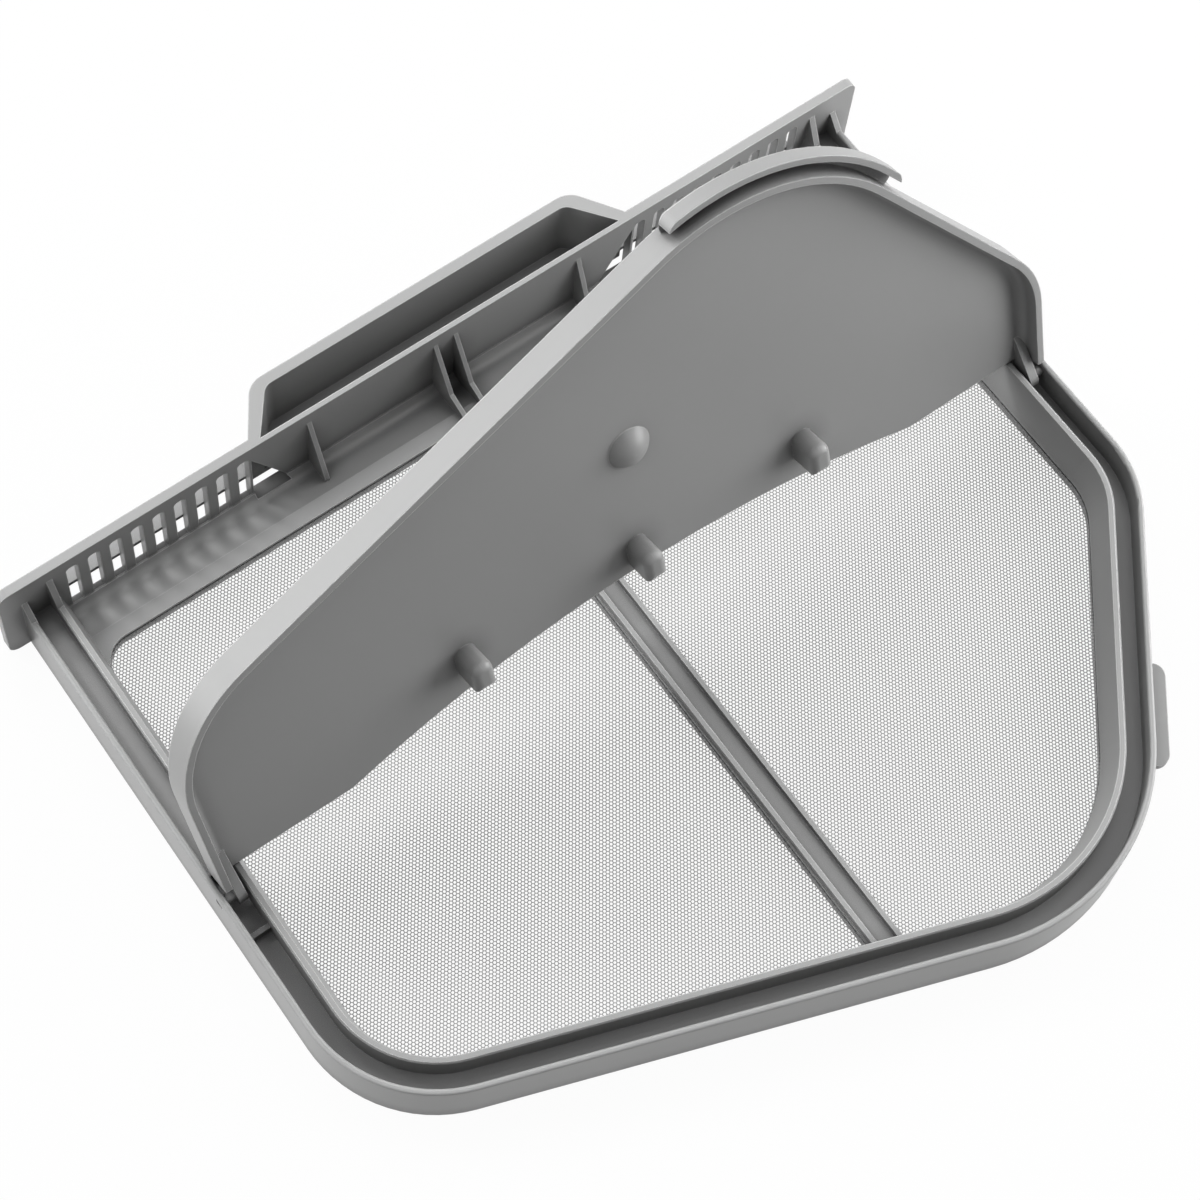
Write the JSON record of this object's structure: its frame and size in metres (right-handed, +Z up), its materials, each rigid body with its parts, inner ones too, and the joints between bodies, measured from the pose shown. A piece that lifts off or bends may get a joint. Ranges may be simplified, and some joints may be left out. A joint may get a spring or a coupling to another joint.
{
  "type": "tumble dryer lint filter",
  "caption": "Flat tray-shaped lint filter with fine mesh screens in a moulded frame, a slotted end flange with a finger-pocket handle, and a hinged cover plate standing open.",
  "frame": {"origin": "middle of the flange's inner face, on the plane that the frame rests on", "axes": "+X along the flange, +Y out of the dryer towards the pull handle, +Z up from the resting plane towards the cover side"},
  "size_m": [0.314, 0.2671, 0.1551],
  "materials": {
    "grey_plastic": "satin moulded plastic, mid grey",
    "mesh": "fine pale grey hexagonal mesh"
  },
  "bodies": {
    "frame": {"frame": "grey_plastic", "screen_left": "mesh", "screen_right": "mesh"},
    "cover": {"cover": "grey_plastic"}
  },
  "joints": [
    {"name": "cover_hinge", "type": "hinge", "parent": "frame", "child": "cover", "pos_m": [0, -0.1059, 0.018], "axis": [1, 0, 0], "range_deg": [0, 109.8]}
  ]
}
